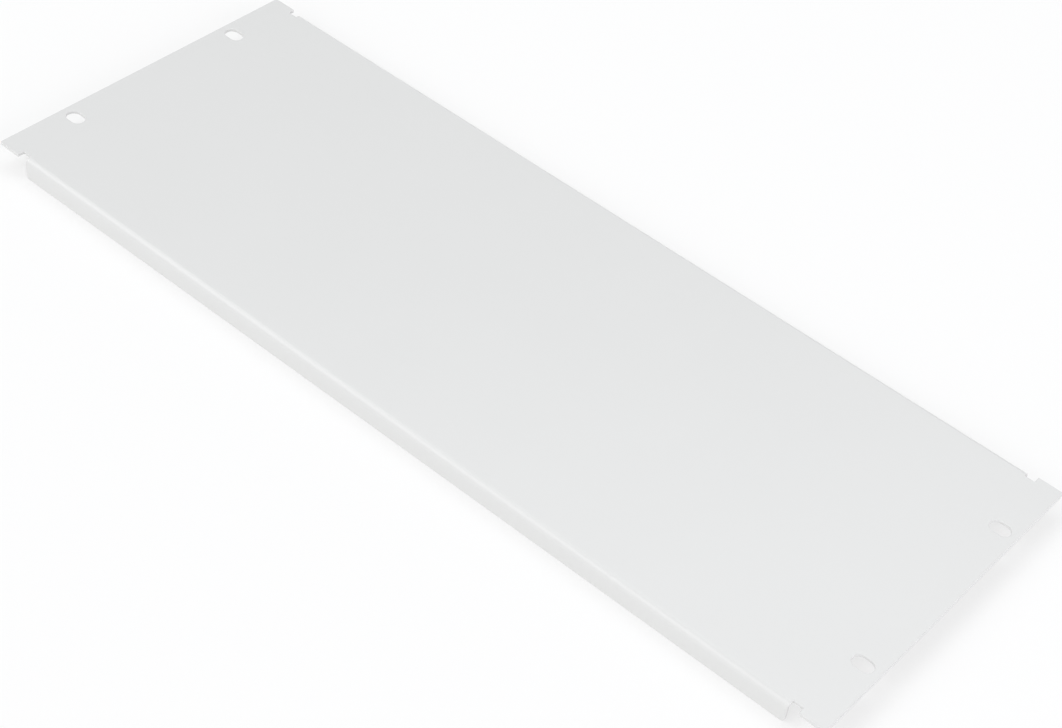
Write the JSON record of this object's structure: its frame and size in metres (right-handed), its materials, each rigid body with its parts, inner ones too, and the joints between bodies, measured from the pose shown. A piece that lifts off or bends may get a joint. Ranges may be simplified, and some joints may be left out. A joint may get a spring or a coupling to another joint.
{
  "type": "rack blanking panel",
  "caption": "Flat cover plate for a 19-inch rack, folded from painted sheet steel, with a shallow stiffening flange along each long edge and slotted mounting ears.",
  "frame": {"origin": "under the middle of the panel, in the plane of the flanges' free edges, on which it lies", "axes": "+X along the panel's width, +Y up the panel as it hangs in the rack, +Z out of the face"},
  "size_m": [0.4826, 0.177, 0.011],
  "materials": {
    "powder_coat": "light grey powder coat, satin, with a very fine texture"
  },
  "bodies": {
    "root": {"blanking_panel": "powder_coat"}
  },
  "joints": []
}
